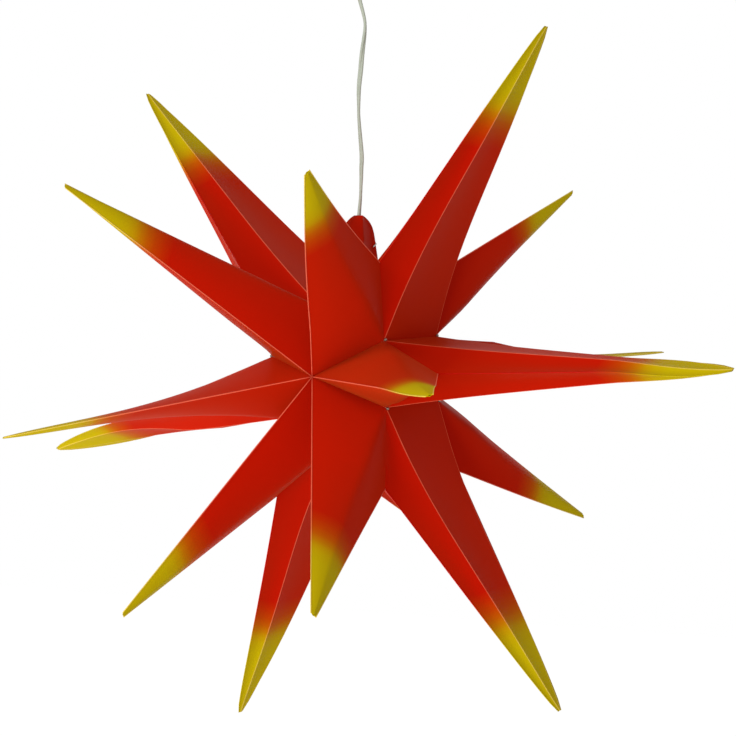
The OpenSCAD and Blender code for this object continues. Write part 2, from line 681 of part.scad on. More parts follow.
module cord_anchor() {
    color("#d8d4c8")
        difference() {
            union() {
                translate([-12, -5, anchor_z])
                    cube([24, 10, -anchor_z - rose_plate]);
            }
            translate([-cord_w / 2 - 0.2, -6, anchor_z - 1])
                cube([cord_w + 0.4, 12, -anchor_z - rose_plate - 3]);
            for (x = [-8, 8])
                translate([x, 0, anchor_z - 1])
                    cylinder(d = 3, h = 9, $fn = 32);
        }
}
module anchor_screws() {
    color(metal)
        for (x = [-8, 8])
            translate([x, 0, anchor_z]) {
                difference() {
                    union() {
                        translate([0, 0, -2])
                            cylinder(d = 5.6, h = 2, $fn = 32);
                        translate([0, 0, -0.5])
                            cylinder(d = 2.9, h = 8, $fn = 32);
                    }
                    translate([-3, -0.4, -2.2])
                        cube([6, 0.8, 1]);
                }
            }
}
block_y = -19;
module terminal_block() {
    color("#f0eee6")
        translate([-9, block_y - 6, -rose_plate - 12])
            difference() {
                cube([18, 12, 12]);
                for (x = [4.5, 13.5]) {
                    translate([x, 3, -1])
                        cylinder(d = 3.4, h = 6, $fn = 32);
                    translate([x, 9, -1])
                        cylinder(d = 3.4, h = 6, $fn = 32);
                    translate([x, -1, 8])
                        rotate([-90, 0, 0])
                            cylinder(d = 3.6, h = 14, $fn = 32);
                }
            }
}
module terminal_screws() {
    color("#c8a850")
        translate([-9, block_y - 6, -rose_plate - 12])
            for (x = [4.5, 13.5])
                for (y = [3, 9])
                    translate([x, y, 0.6])
                        difference() {
                            cylinder(d = 3.3, h = 4.3, $fn = 32);
                            translate([-2, -0.3, -0.5])
                                cube([4, 0.6, 1.2]);
                        }
}
// A short piece inside the rose's mouth stands in for the bend of the cord
bend_gap = 0.4;
bend_top = hang - 375 - 4;
tail_route = [[0, 0, -9], [0, 0, -16], [0, 0, -20], [0, 0, -24], [0, 0, -bend_top + bend_gap]];
module cord_bend() {
    color("#bcbcac")
        swept_cord([[0, 0, -bend_top], [0, 0, -hang + 375 + bend_gap]], [150, 150]);
}
module cord_tail() {
    color("#bcbcac")
        swept_cord(tail_route, [180, 180, 170, 160, 150]);
}

for (index = [0 : 11])
    leaf(index);
leaf_rivets();
clip(-1);  // clip_front
clip(1);  // clip_back
cord();
cord_stop();
stop_screw();
holder_dome();
neck_screw();
holder_barrel();
holder_insert();
holder_thread();
holder_contact();
holder_terminals();
lamp_cap();
cap_glass();
cap_contact();
lamp_collar();
led_board();
led_chips();
lamp_globe();
rose_base();
rose_cover();
cord_anchor();
anchor_screws();
terminal_block();
terminal_screws();
cord_tail();
cord_bend();
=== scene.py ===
import math
import bpy
import bmesh
from mathutils import Vector, Matrix
from mathutils.geometry import intersect_point_line


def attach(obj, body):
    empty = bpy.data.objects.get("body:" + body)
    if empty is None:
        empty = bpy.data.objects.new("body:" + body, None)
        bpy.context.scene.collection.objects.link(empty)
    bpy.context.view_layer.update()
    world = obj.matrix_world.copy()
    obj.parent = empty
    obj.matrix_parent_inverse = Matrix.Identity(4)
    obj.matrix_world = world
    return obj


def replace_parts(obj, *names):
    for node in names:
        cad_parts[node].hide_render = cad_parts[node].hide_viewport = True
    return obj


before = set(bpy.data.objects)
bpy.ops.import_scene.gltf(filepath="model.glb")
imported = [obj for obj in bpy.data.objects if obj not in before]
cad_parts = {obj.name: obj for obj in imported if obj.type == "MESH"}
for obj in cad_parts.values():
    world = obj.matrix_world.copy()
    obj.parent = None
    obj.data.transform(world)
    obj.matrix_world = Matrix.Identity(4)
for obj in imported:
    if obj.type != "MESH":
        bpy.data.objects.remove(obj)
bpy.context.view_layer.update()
scene = bpy.context.scene
scene.view_settings.view_transform = "Standard"
starCentre = Vector((0, 0, -0.41))
print("frame loaded:", len(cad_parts), "nodes")

# Camera at the photograph's angle, level with the star's centre
camera = {"azimuth": 28.14, "distance": 1.759, "lens": 88.07, "sensor": 36, "shift": (0.01264, 0.00489),
          "nearest": 0.05, "farthest": 60}


def makeCamera():
    turn = math.radians(camera["azimuth"])
    back = Vector((math.sin(turn), -math.cos(turn), 0))
    data = bpy.data.cameras.new("viewCamera")
    data.lens = camera["lens"]
    data.sensor_width = camera["sensor"]
    data.shift_x, data.shift_y = camera["shift"]
    data.clip_start, data.clip_end = camera["nearest"], camera["farthest"]
    cam = bpy.data.objects.new("viewCamera", data)
    scene.collection.objects.link(cam)
    cam.location = starCentre + back * camera["distance"]
    cam.rotation_mode = "QUATERNION"
    cam.rotation_quaternion = (-back).to_track_quat("-Z", "Y")
    scene.camera = cam


makeCamera()


# Shader maths: a wrapped socket takes part in plain expressions
class Wire:
    def __init__(self, tree, socket):
        self.tree = tree
        self.socket = socket

    def maths(self, operation, a, b):
        node = self.tree.nodes.new("ShaderNodeMath")
        node.operation = operation
        for slot, value in zip(node.inputs, (a, b)):
            if isinstance(value, Wire):
                self.tree.links.new(value.socket, slot)
            else:
                slot.default_value = value
        return Wire(self.tree, node.outputs[0])

    def __add__(self, other):
        return self.maths("ADD", self, other)

    def __radd__(self, other):
        return self.maths("ADD", other, self)

    def __sub__(self, other):
        return self.maths("SUBTRACT", self, other)

    def __rsub__(self, other):
        return self.maths("SUBTRACT", other, self)

    def __mul__(self, other):
        return self.maths("MULTIPLY", self, other)

    def __rmul__(self, other):
        return self.maths("MULTIPLY", other, self)

    def __lt__(self, other):
        return self.maths("LESS_THAN", self, other)

    def orMore(self, other):
        return self.maths("MAXIMUM", self, other)


class Nodes:
    def __init__(self, tree):
        self.tree = tree

    # Settings come first, because some of them change the node's sockets. A socket goes by its name, or by
    # its number after a _
    def make(self, kind, settings=None, **values):
        node = self.tree.nodes.new(kind)
        for name, value in (settings or {}).items():
            if name == "stops":
                ramp = node.color_ramp
                while len(ramp.elements) < len(value):
                    ramp.elements.new(0.5)
                for element, (position, colour) in zip(ramp.elements, value):
                    element.position = position
                    element.color = colour
            else:
                setattr(node, name, value)
        for name, value in values.items():
            self.plug(value, node.inputs[int(name[1:]) if name[0] == "_" else name])
        return node

    def plug(self, value, socket):
        if isinstance(value, Wire):
            value = value.socket
        if isinstance(value, bpy.types.NodeSocket):
            self.tree.links.new(value, socket)
        else:
            socket.default_value = value

    def wire(self, node, output=0):
        return Wire(self.tree, node.outputs[output])


# A material: what is fixed comes with its name, what changes over the surface is fed in later
class Finish(Nodes):
    def __init__(self, name, **fixed):
        self.material = bpy.data.materials.new(name)
        self.material.use_nodes = True
        super().__init__(self.material.node_tree)
        self.shader = self.tree.nodes["Principled BSDF"]
        for socket, value in fixed.items():
            self.feed(socket.replace("_", " "), value)
        self.place = self.make("ShaderNodeTexCoord").outputs["Object"]

    def feed(self, socket, value):
        self.plug(value, self.shader.inputs[socket])

    def noise(self, scale, detail=2):
        return self.wire(self.make("ShaderNodeTexNoise", Vector=self.place, Scale=scale, Detail=detail))

    def attribute(self, name):
        return self.wire(self.make("ShaderNodeAttribute", {"attribute_name": name}), 2)

    def bump(self, height, strength, distance):
        node = self.make("ShaderNodeBump", Height=height, Strength=strength, Distance=distance)
        self.feed("Normal", node.outputs[0])

    def blend(self, factor, a, b):
        return self.make("ShaderNodeMix", {"data_type": "RGBA"}, _0=factor, _6=a, _7=b).outputs[2]


# From screen colours, 0 to 255, to the linear ones that sockets take
def linear(*rgb):
    return tuple(((c / 255 + 0.055) / 1.055) ** 2.4 if c > 10 else c / 255 / 12.92 for c in rgb) + (1,)


def shareOf(a, b, share):
    return tuple(p + (q - p) * share for p, q in zip(a, b))


# The film is printed red at the core and turns yellow towards every point: distance and share of yellow
film = {"turns": ((0.243, 0), (0.252, 0.04), (0.262, 0.11), (0.270, 0.23), (0.277, 0.43), (0.283, 0.7),
                  (0.291, 0.9), (0.302, 1)),
        "start": 0.235, "span": 0.07, "red": (206, 18, 2), "yellow": (208, 184, 6),
        "paleRed": (246, 112, 82), "paleYellow": (240, 208, 84),
        "gloss": 0.006, "sheen": 0.08, "sheenSpread": 0.6, "sheenTint": (0.9, 0.58, 0.09, 1),
        "edgeScale": 26, "edgeWander": 0.06, "cloudScale": 9, "cloudDepth": 0.1,
        "foldWidth": 0.0007, "foldScale": 150, "foldRagged": 0.5,
        "wearScale": 60, "leastWear": 0.5, "wear": 0.6,
        "roughness": 0.42, "grainScale": 900, "grainRoughness": 0.12, "grainHeight": 0.05,
        "grainDepth": 0.0004}


def filmRamp(finish, red, yellow, place):
    stops = [((away - film["start"]) / film["span"], shareOf(linear(*red), linear(*yellow), share))
             for away, share in film["turns"]]
    return finish.make("ShaderNodeValToRGB", {"stops": stops}, Fac=place).outputs[0]


# The red runs farther out on some points, as each piece's own attribute says
def toneAlong(finish):
    reach = finish.wire(finish.make("ShaderNodeVectorMath", {"operation": "DISTANCE"}, _0=finish.place,
                                    _1=starCentre), 1)
    return (reach - finish.attribute("redReach") - film["start"]) * (1 / film["span"])


def makeFilm():
    finish = Finish("satinFilm", Specular_IOR_Level=film["gloss"], Sheen_Weight=film["sheen"],
                    Sheen_Roughness=film["sheenSpread"], Sheen_Tint=film["sheenTint"])
    place = toneAlong(finish) + (finish.noise(film["edgeScale"]) - 0.5) * film["edgeWander"]
    colour = filmRamp(finish, film["red"], film["yellow"], place)
    pale = filmRamp(finish, film["paleRed"], film["paleYellow"], place)
    brightness = finish.noise(film["cloudScale"], 3) * film["cloudDepth"] + (1 - film["cloudDepth"] / 2)
    clouded = finish.make("ShaderNodeHueSaturation", Value=brightness, Color=colour)
    # The film whitens along its sharp folds, raggedly and not all along
    ragged = finish.noise(film["foldScale"], 3) * film["foldRagged"] + (1 - film["foldRagged"] / 2)
    near = finish.attribute("foldAway") < ragged * film["foldWidth"]
    worn = near * (finish.noise(film["wearScale"]) * film["wear"] + film["leastWear"])
    finish.feed("Base Color", finish.blend(worn, clouded.outputs[0], pale))
    grain = finish.noise(film["grainScale"], 3)
    finish.feed("Roughness", (grain - 0.5) * film["grainRoughness"] + film["roughness"])
    finish.bump(grain, film["grainHeight"], film["grainDepth"])
    return finish.material


filmFinish = makeFilm()


# Pieces
def pieceFrom(bm, name, body, materials):
    mesh = bpy.data.meshes.new(name)
    for face in bm.faces:
        face.smooth = True
    bm.to_mesh(mesh)
    bm.free()
    for material in materials:
        mesh.materials.append(material)
    piece = bpy.data.objects.new(name, mesh)
    scene.collection.objects.link(piece)
    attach(piece, body)
    return piece


# A smooth curve through all the points, with this many steps from each to the next
def smoothPath(points, steps):
    out = []
    for k in range(len(points) - 1):
        a, b = points[max(0, k - 1)], points[k]
        c, d = points[k + 1], points[min(len(points) - 1, k + 2)]
        for s in range(steps):
            t = s / steps
            out.append(0.5 * ((2 * b) + (c - a) * t + (2 * a - 5 * b + 4 * c - d) * t * t
                              + (3 * b - a - 3 * c + d) * t * t * t))
    return out + [points[-1]]


# Sweeps a ring of points along a path: the ring's first edge loop is extruded from station to station,
# and at each station the ring's width stands square to the path and to that station's thick way
def sweep(bm, ring, path, ways):
    verts = [bm.verts.new((0, 0, 0)) for _ in ring]
    loop = [bm.edges.new((verts[i], verts[(i + 1) % len(verts)])) for i in range(len(verts))]
    first = list(verts)

    def settle(stationVerts, k):
        ahead = (path[min(k + 1, len(path) - 1)] - path[max(k - 1, 0)]).normalized()
        wide = ways[k].cross(ahead).normalized()
        thick = ahead.cross(wide)
        for vert, (x, y) in zip(stationVerts, ring):
            vert.co = path[k] + wide * x + thick * y

    settle(verts, 0)
    for k in range(1, len(path)):
        grown = bmesh.ops.extrude_edge_only(bm, edges=loop)["geom"]
        newVerts = [g for g in grown if isinstance(g, bmesh.types.BMVert)]
        verts = [next(e.other_vert(old) for e in old.link_edges if e.other_vert(old) in newVerts)
                 for old in verts]
        loop = [g for g in grown if isinstance(g, bmesh.types.BMEdge)
                and g.verts[0] in newVerts and g.verts[1] in newVerts]
        settle(verts, k)
    bm.faces.new(first)
    bm.faces.new(verts)
    bmesh.ops.recalc_face_normals(bm, faces=bm.faces)


# Flat twin cord: two round cores side by side with a groove between them. Its route goes across, away and
# up in the photograph's view, in mm from the star's centre, and turns give the cord's turn about itself by
# that height, in degrees. The tail in the rose and the bend in its mouth are straight: height and turn
cord = {"width": 0.0049, "thick": 0.0029, "groove": 0.0021, "bearing": 28, "steps": 3,
        "route": [(0, 0, 375), (0, 0, 371), (0.3, 0, 366), (1.8, 0.3, 360), (4, 0.8, 352), (5.8, 1.2, 344),
                  (6.3, 1.4, 338), (5.8, 1.4, 330), (4.8, 1.3, 322), (3.6, 1, 313), (2.7, 0.6, 304),
                  (1.9, 0.2, 294), (0.8, -0.2, 284), (0.1, -0.6, 274), (0, -1, 262), (0, -1, 252),
                  (0.4, -1, 244), (1, -0.8, 236), (1.7, -0.6, 227), (2.5, -0.2, 218), (3, 0, 208),
                  (2.6, 0.3, 199), (2.5, 0.5, 190), (2.2, 0.5, 181), (1.9, 0.4, 172), (1.3, 0.3, 164),
                  (0.6, 0.1, 156), (0.2, 0, 148), (0, 0, 140), (0, 0, 128), (0, 0, 116), (0, 0, 104),
                  (0, 0, 92), (0, 0, 81), (0, 0, 72), (0, 0, 64), (0, 0, 58)],
        "turns": [(150, -90), (183, -50), (207, -15), (254, -62), (300, 28), (340, 118), (371, 150)],
        "tail": [(-9, 180), (-16, 180), (-20, 170), (-24, 160), (-30.6, 150)],
        "bend": [(-31, 150), (-34.6, 150)],
        "pale": (190, 196, 180), "dusty": (170, 177, 160), "dustScale": 160,
        "roughness": 0.42, "gloss": 0.35, "grainScale": 500, "grainHeight": 0.08, "grainDepth": 0.0003}


def lookup(table, x):
    if x <= table[0][0]:
        return table[0][1]
    for (x0, y0), (x1, y1) in zip(table, table[1:]):
        if x <= x1:
            return y0 + (y1 - y0) * (x - x0) / (x1 - x0)
    return table[-1][1]


def thickWay(twist):
    turn = math.radians(twist)
    return Vector((-math.sin(turn), math.cos(turn), 0))


# Each core is round for 120 degrees to both sides of its outer edge
def cordRing():
    core = cord["thick"] / 2
    offset = cord["width"] / 2 - core
    dip = cord["groove"] / 2
    turns = [math.radians(turn) for turn in range(-120, 121, 30)]
    ring = [(offset + core * math.cos(a), core * math.sin(a)) for a in turns]
    return ring + [(0, dip)] + [(-x, -y) for x, y in ring] + [(0, -dip)]


def makeCordFinish():
    finish = Finish("cordSheath", Roughness=cord["roughness"], Specular_IOR_Level=cord["gloss"])
    dust = finish.noise(cord["dustScale"], 3)
    finish.feed("Base Color", finish.blend(dust, linear(*cord["pale"]), linear(*cord["dusty"])))
    finish.bump(finish.noise(cord["grainScale"]), cord["grainHeight"], cord["grainDepth"])
    return finish.material


def makeCord():
    finish = makeCordFinish()
    side = Matrix.Rotation(math.radians(cord["bearing"]), 3, "Z")
    route = [side @ Vector(p) / 1000 + starCentre for p in cord["route"]]
    path = smoothPath(route, cord["steps"])
    ways = [thickWay(lookup(cord["turns"], (p.z - starCentre.z) * 1000)) for p in path]
    bm = bmesh.new()
    sweep(bm, cordRing(), path, ways)
    hanging = pieceFrom(bm, "hangingCord", "drop", [finish])
    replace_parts(hanging, "cord")
    length = sum((b - a).length for a, b in zip(path, path[1:]))
    for name, body, node, stations in (("cordInMouth", "bend", "cord_bend", cord["bend"]),
                                       ("cordInRose", "rose", "cord_tail", cord["tail"])):
        bm = bmesh.new()
        stretch = [Vector((0, 0, z / 1000)) for z, _ in stations]
        sweep(bm, cordRing(), stretch, [thickWay(twist) for _, twist in stations])
        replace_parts(pieceFrom(bm, name, body, [finish]), node)
    print("cord made, length", round(length, 3))


makeCord()

# The folded star. Rows go by seam, clockwise from the upper right one, and three values in a row are for the
# seam's front, middle and back point
star = {"seams": (57, 1, -57, -113, -168, -231),
        # Turned away from the front pole and swung round the pole axis, in degrees, and longer, in mm
        "shifts": (((-0.85, 0.15, 0.25), (0, 0.25, 1.5), (0, 0.5, 0)),
                   ((0.5, -2, 0.5), (0, -0.75, -1.5), (0, 0.5, 0)),
                   ((-0.25, -2.5, 2), (0, -0.25, 1.5), (0.5, 1.5, 0)),
                   ((0, 0, 0), (-0.25, 0.25, 3), (1.5, 1.5, 0)),
                   ((0, 0, 0), (-0.25, 0.75, 2), (0, 0, 0)),
                   ((2, -1.5, 1), (0, 0.75, -2), (2, 6.5, -10))),
        # Twisted towards the cut end, in degrees, over a run of the seam's own
        "twists": ((0, 0, 0), (15, 20, 0), (0, 0, 0), (0, 0, 0), (0, 22, 0), (0, 0, 0)),
        "twistRuns": (0.11, 0.11, 0.11, 0.11, 0.24, 0.11),
        # Pressed thinner by this share at most, and the middle points once more over a longer run
        "presses": ((0.3, 0, 0.3), (0.4, 0, 0.75), (0.3, 0, 0.3), (0.2, 0, 0), (0.6, 0.6, 0), (0.05, 0, 0)),
        "pressRuns": ((0.21, 0.19, 0.21),) * 4 + ((0.26, 0.19, 0.21), (0.21, 0.19, 0.21)),
        "pressEase": 0.7, "corePresses": (0.3, 0.08, 0.33, 0.35, 0, 0.15), "coreRun": 0.315, "coreEase": 1.5,
        # Bowed sideways
        "bows": ((-0.0025, 0, 0), (0, 0, 0), (0, 0, -0.002), (0, 0.0035, 0), (0, 0, 0), (0, 0, 0)),
        "bowRuns": (0.21, 0.25, 0.21),
        # The red runs farther out by this, in mm
        "redReaches": ((12, 11, -7), (0, 17, -6), (-1, 6, -10), (1, 2, 0), (-4, 12, 0), (1, 0, 0)),
        # Between the seams: each fold's turn from its middle place, in degrees
        "foldTurns": (0, 0, 0, 0, 4),
        "middleReach": 0.3747, "outerReach": 0.3567, "ringAngle": 36.5, "poleReach": 0.092,
        "valleyR": 0.066, "valleyHalf": 0.056, "notchR": 0.124, "notchHalf": 0.08, "edgeSwell": 0.005,
        "dip": 3, "tipHalf": 0.003, "tipStand": 0.0009, "tipFlat": 0.3, "slitHalf": 0.0098, "skin": 0.0004,
        "cuts": 21, "swell": 0.004, "facetSwell": (0.7, 0.3, -0.5, -0.6, -0.5, 0.3, 0.7), "swellEase": 0.7,
        "softening": 28, "softShare": 0.5, "merged": 1e-6, "sharpAngle": 28}
leafCount = 2 * len(star["seams"])
slitAz = math.degrees(math.acos(star["slitHalf"] / star["valleyR"]))
inStar = Matrix.Translation(starCentre) @ Matrix.Rotation(math.radians(star["dip"]), 4, "X")


def atPole(r, az, depth):
    a = math.radians(az)
    return Vector((r * math.cos(a), depth, r * math.sin(a)))


# The way square to the plane that holds the pole axis at this angle
def squareTo(az):
    a = math.radians(az)
    return Vector((-math.sin(a), 0, math.cos(a)))


def seamAz(leaf):
    return star["seams"][leaf // 2]


def foldAz(leaf):
    if leaf == 0:
        return slitAz
    if leaf == leafCount - 1:
        return 180 - slitAz - 360
    other = leaf // 2 - 1 if leaf % 2 == 0 else leaf // 2 + 1
    return (seamAz(leaf) + star["seams"][other]) / 2 + star["foldTurns"][(leaf - 1) // 2]


def sideOf(leaf):
    return 1 if foldAz(leaf) > seamAz(leaf) else -1


# A point's axis, the way over its end and its reach. Which is 0 for front, 1 for middle, 2 for back
def pointPlace(leaf, which):
    angle = (star["ringAngle"], 90, 180 - star["ringAngle"])[which]
    reach = (star["outerReach"], star["middleReach"], star["outerReach"])[which]
    turn, swing, longer = star["shifts"][leaf // 2][which]
    a = math.radians(angle + turn)
    az = seamAz(leaf) + swing
    return atPole(math.sin(a), az, -math.cos(a)), atPole(math.cos(a), az, math.sin(a)), reach + longer / 1000


def pointEnd(leaf, which, across, stand):
    axis, over, reach = pointPlace(leaf, which)
    return (axis * reach + over * across * star["tipHalf"]
            + squareTo(seamAz(leaf)) * sideOf(leaf) * stand * star["tipStand"])


# Presses, swells, bows and twists a place on a point by how far it is from the cut end
def bent(place, leaf, which):
    axis, over, reach = pointPlace(leaf, which)
    seam = leaf // 2
    back = reach - place.dot(axis)

    def upTo(run):
        return min(1, max(0, back) / run)

    flat = star["presses"][seam][which] * math.sin(
        math.pi * upTo(star["pressRuns"][seam][which]) ** star["pressEase"])
    if which == 1:
        flat += star["corePresses"][seam] * math.sin(math.pi * upTo(star["coreRun"]) ** star["coreEase"])
    off = axis.cross(over)
    low = place - off * place.dot(off) * flat
    if which == 1:
        grown = upTo(star["middleReach"] - star["notchR"])
        half = star["tipHalf"] + (star["notchHalf"] - star["tipHalf"]) * grown
        low += over * place.dot(over) * star["edgeSwell"] * math.sin(math.pi * math.sqrt(grown)) / half
    low += over * star["bows"][seam][which] * math.sin(math.pi * upTo(star["bowRuns"][which]))
    t = min(1, max(0, 1 - back / star["twistRuns"][seam]))
    twist = star["twists"][seam][which] * t * t * (3 - 2 * t)
    return Matrix.Rotation(math.radians(twist), 3, axis) @ low


# Seven facets of a leaf: two corners at the core, two at a point's cut end
def leafFacets(leaf):
    az, fold = seamAz(leaf), foldAz(leaf)
    flat = star["tipFlat"]
    poles = [Vector((0, y * star["poleReach"], 0)) for y in (-1, 1)]
    valleys = [atPole(star["valleyR"], fold, y * star["valleyHalf"]) for y in (-1, 1)]
    notches = [atPole(star["notchR"], az, y * star["notchHalf"]) for y in (-1, 1)]
    front, mid, back = [[pointEnd(leaf, which, *e) for e in ends] for which, ends in (
        (0, ((-1, 0), (0, 1), (1, 0))),
        (1, ((-1, 0), (-flat, 1), (flat, 1), (1, 0))),
        (2, ((-1, 0), (0, 1), (1, 0))))]
    strips = [([poles[0], valleys[0], notches[0]], front),
              ([notches[0], valleys[0], valleys[1], notches[1]], mid),
              ([notches[1], valleys[1], poles[1]], back)]
    return [(core[i], core[i + 1], ends[i + 1], ends[i])
            for core, ends in strips for i in range(len(core) - 1)]


def away(point, a, b):
    return (point - intersect_point_line(point, a, b)[0]).length


# How far a place is from one line to another, from 0 to 1
def between(point, lineA, lineB):
    toA, toB = away(point, *lineA), away(point, *lineB)
    return toA / max(toA + toB, 1e-9)  # the lines may meet


def swellFacet(verts, corners, share, side):
    coreA, coreB, endB, endA = corners
    out = (endA - coreA).cross(coreB - coreA).normalized() * side
    for vert in verts:
        across = between(vert.co, (coreA, endA), (coreB, endB))
        along = between(vert.co, (coreA, coreB), (endA, endB))
        lift = math.sin(math.pi * across) * math.sin(math.pi * along ** star["swellEase"])
        vert.co += out * star["swell"] * share * lift


def makeFacets(bm, facets, facet, side):
    for number, corners in enumerate(facets):
        face = bm.faces.new([bm.verts.new(p) for p in corners])
        face[facet] = number
        bmesh.ops.subdivide_edges(bm, edges=list(face.edges), cuts=star["cuts"], use_grid_fill=True)
        verts = {v for f in bm.faces if f[facet] == number for v in f.verts}
        swellFacet(verts, corners, star["facetSwell"][number], side)
    bmesh.ops.remove_doubles(bm, verts=bm.verts, dist=star["merged"])


# The front and back points only bend softly between their two facets
def softenBends(bm, facet):
    soft = []
    for vert in bm.verts:
        numbers = {f[facet] for f in vert.link_faces}
        if not vert.is_boundary and (numbers <= {0, 1} or numbers <= {5, 6}):
            soft.append(vert)
    for _ in range(star["softening"]):
        bmesh.ops.smooth_vert(bm, verts=soft, factor=star["softShare"],
                              use_axis_x=True, use_axis_y=True, use_axis_z=True)


# Facets 0, 2 and 5 have the seam at their first corner, 1, 4 and 6 at their second, and 3 has none
def seamPlanes(facets, off):
    planes = {}
    for number, (coreA, coreB, endB, endA) in enumerate(facets):
        if number == 3:
            continue
        p, q = (coreA, endA) if number in (0, 2, 5) else (coreB, endB)
        plane = p.cross(q).normalized()
        planes[number] = plane if plane.dot(off) > 0 else -plane
    return planes


# The inner skin stays on its own side of the seam and of the fold, and then the points are bent
def bendPoints(bm, leaf, facet, redReach, planes, foldOff):
    for vert in bm.verts:
        numbers = {f[facet] for f in vert.link_faces}
        for plane in [foldOff] + [planes[n] for n in numbers if n in planes]:
            depth = vert.co.dot(plane)
            if depth < 0:
                vert.co -= plane * depth
        which = 0 if min(numbers) < 2 else 2 if max(numbers) > 4 else 1
        vert[redReach] = star["redReaches"][leaf // 2][which] / 1000
        vert.co = bent(vert.co, leaf, which)


def makeLeaf(leaf):
    bm = bmesh.new()
    facet = bm.faces.layers.int.new("facet")
    foldAway = bm.verts.layers.float.new("foldAway")
    redReach = bm.verts.layers.float.new("redReach")
    side = sideOf(leaf)
    off = squareTo(seamAz(leaf)) * side
    facets = leafFacets(leaf)
    makeFacets(bm, facets, facet, side)
    softenBends(bm, facet)
    sharpFolds = [(facets[2][1], facets[2][2]), (facets[4][0], facets[4][3])]
    for vert in bm.verts:
        vert[foldAway] = min(away(vert.co, a, b) for a, b in sharpFolds)
    bmesh.ops.recalc_face_normals(bm, faces=bm.faces)
    if sum(f.normal.dot(off) * f.calc_area() for f in bm.faces) < 0:
        bmesh.ops.reverse_faces(bm, faces=bm.faces)
    bmesh.ops.solidify(bm, geom=list(bm.faces), thickness=star["skin"])
    bendPoints(bm, leaf, facet, redReach, seamPlanes(facets, off), squareTo(foldAz(leaf)) * -side)
    bmesh.ops.transform(bm, matrix=inStar, verts=bm.verts)
    piece = pieceFrom(bm, "filmLeaf%02d" % (leaf + 1), "star", [filmFinish])
    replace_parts(piece, "leaf_%02d" % (leaf + 1))
    piece.data.set_sharp_from_angle(angle=math.radians(star["sharpAngle"]))


for leaf in range(leafCount):
    makeLeaf(leaf)
print("leaves made")

# The seams are welded: a narrow edge stands along each of them, whitened but for the middle points
weld = {"half": 0.0005, "sides": 8, "steps": 24, "gloss": 0.05, "roughness": 0.45, "paleness": 0.9,
        "redness": -0.3, "wearScale": 140, "wear": 0.5}


def makeWeldFinish(name, paleness):
    finish = Finish(name, Specular_IOR_Level=weld["gloss"], Roughness=weld["roughness"])
    place = toneAlong(finish)
    tone = filmRamp(finish, film["red"], film["yellow"], place)
    pale = filmRamp(finish, film["paleRed"], film["paleYellow"], place)
    worn = finish.noise(weld["wearScale"], 3) * weld["wear"] + (paleness - weld["wear"] / 2)
    finish.feed("Base Color", finish.blend(worn, tone, pale))
    return finish.material


def makeWelds():
    finishes = [makeWeldFinish("paleWeld", weld["paleness"]), makeWeldFinish("redWeld", weld["redness"])]
    turns = [2 * math.pi * k / weld["sides"] for k in range(weld["sides"])]
    ring = [(weld["half"] * math.cos(t), weld["half"] * math.sin(t)) for t in turns]
    poles = [Vector((0, y * star["poleReach"], 0)) for y in (-1, 1)]
    for seam in range(len(star["seams"])):
        leaf = seam * 2
        off = squareTo(seamAz(leaf))
        notches = [atPole(star["notchR"], seamAz(leaf), y * star["notchHalf"]) for y in (-1, 1)]
        ends = [[pointEnd(leaf, which, e, 0) for e in (-1, 1)] for which in (0, 1, 2)]
        runs = [(poles[0], ends[0][0], 0), (ends[0][1], notches[0], 0), (notches[0], ends[1][0], 1),
                (ends[1][1], notches[1], 1), (notches[1], ends[2][0], 2), (ends[2][1], poles[1], 2)]
        bm = bmesh.new()
        redReach = bm.verts.layers.float.new("redReach")
        for a, b, which in runs:
            path = [bent(a.lerp(b, k / weld["steps"]), leaf, which) for k in range(weld["steps"] + 1)]
            before = set(bm.faces)
            sweep(bm, ring, path, [off] * len(path))
            for face in set(bm.faces) - before:
                face.material_index = 1 if which == 1 else 0
                for vert in face.verts:
                    vert[redReach] = star["redReaches"][seam][which] / 1000
        bmesh.ops.transform(bm, matrix=inStar, verts=bm.verts)
        pieceFrom(bm, "weldedSeam%d" % (seam + 1), "star", finishes)
    print("welds made")


makeWelds()

# Top tabs: each rises from an end leaf's edge, swells round the cord to a crease and closes at its sides
tab = {"height": 0.087, "tip": 0.007, "topGap": 0.0036, "film": 0.0008, "skinShare": 0.75, "rise": 1.5,
       "shoulder": 0.006, "shoulderEase": 5, "closedFrom": 0.42, "creaseHalf": 0.75, "creaseEase": 1.3,
       "rows": 24, "columns": 32, "noFold": 1, "sharpAngle": 40}


def tabSpot(t, v):
    share = 1 - (1 - t) ** tab["rise"]
    half = math.sqrt(star["valleyHalf"] ** 2 + (tab["tip"] ** 2 - star["valleyHalf"] ** 2) * share)
    half += tab["shoulder"] * math.sin(math.pi * share ** tab["shoulderEase"])
    edge = max(tab["film"] / 2, star["slitHalf"] * (1 - share / tab["closedFrom"]))
    middle = star["slitHalf"] + (tab["topGap"] - star["slitHalf"]) * share
    puff = max(0, 1 - abs(v) / tab["creaseHalf"]) ** tab["creaseEase"]
    x = edge + (max(middle, edge) - edge) * puff
    edgeZ = star["valleyR"] * math.sin(math.radians(slitAz))
    lean = share * (edgeZ + tab["height"]) * math.tan(math.radians(star["dip"]))
    return Vector((x, half * v + lean, edgeZ + tab["height"] * share))


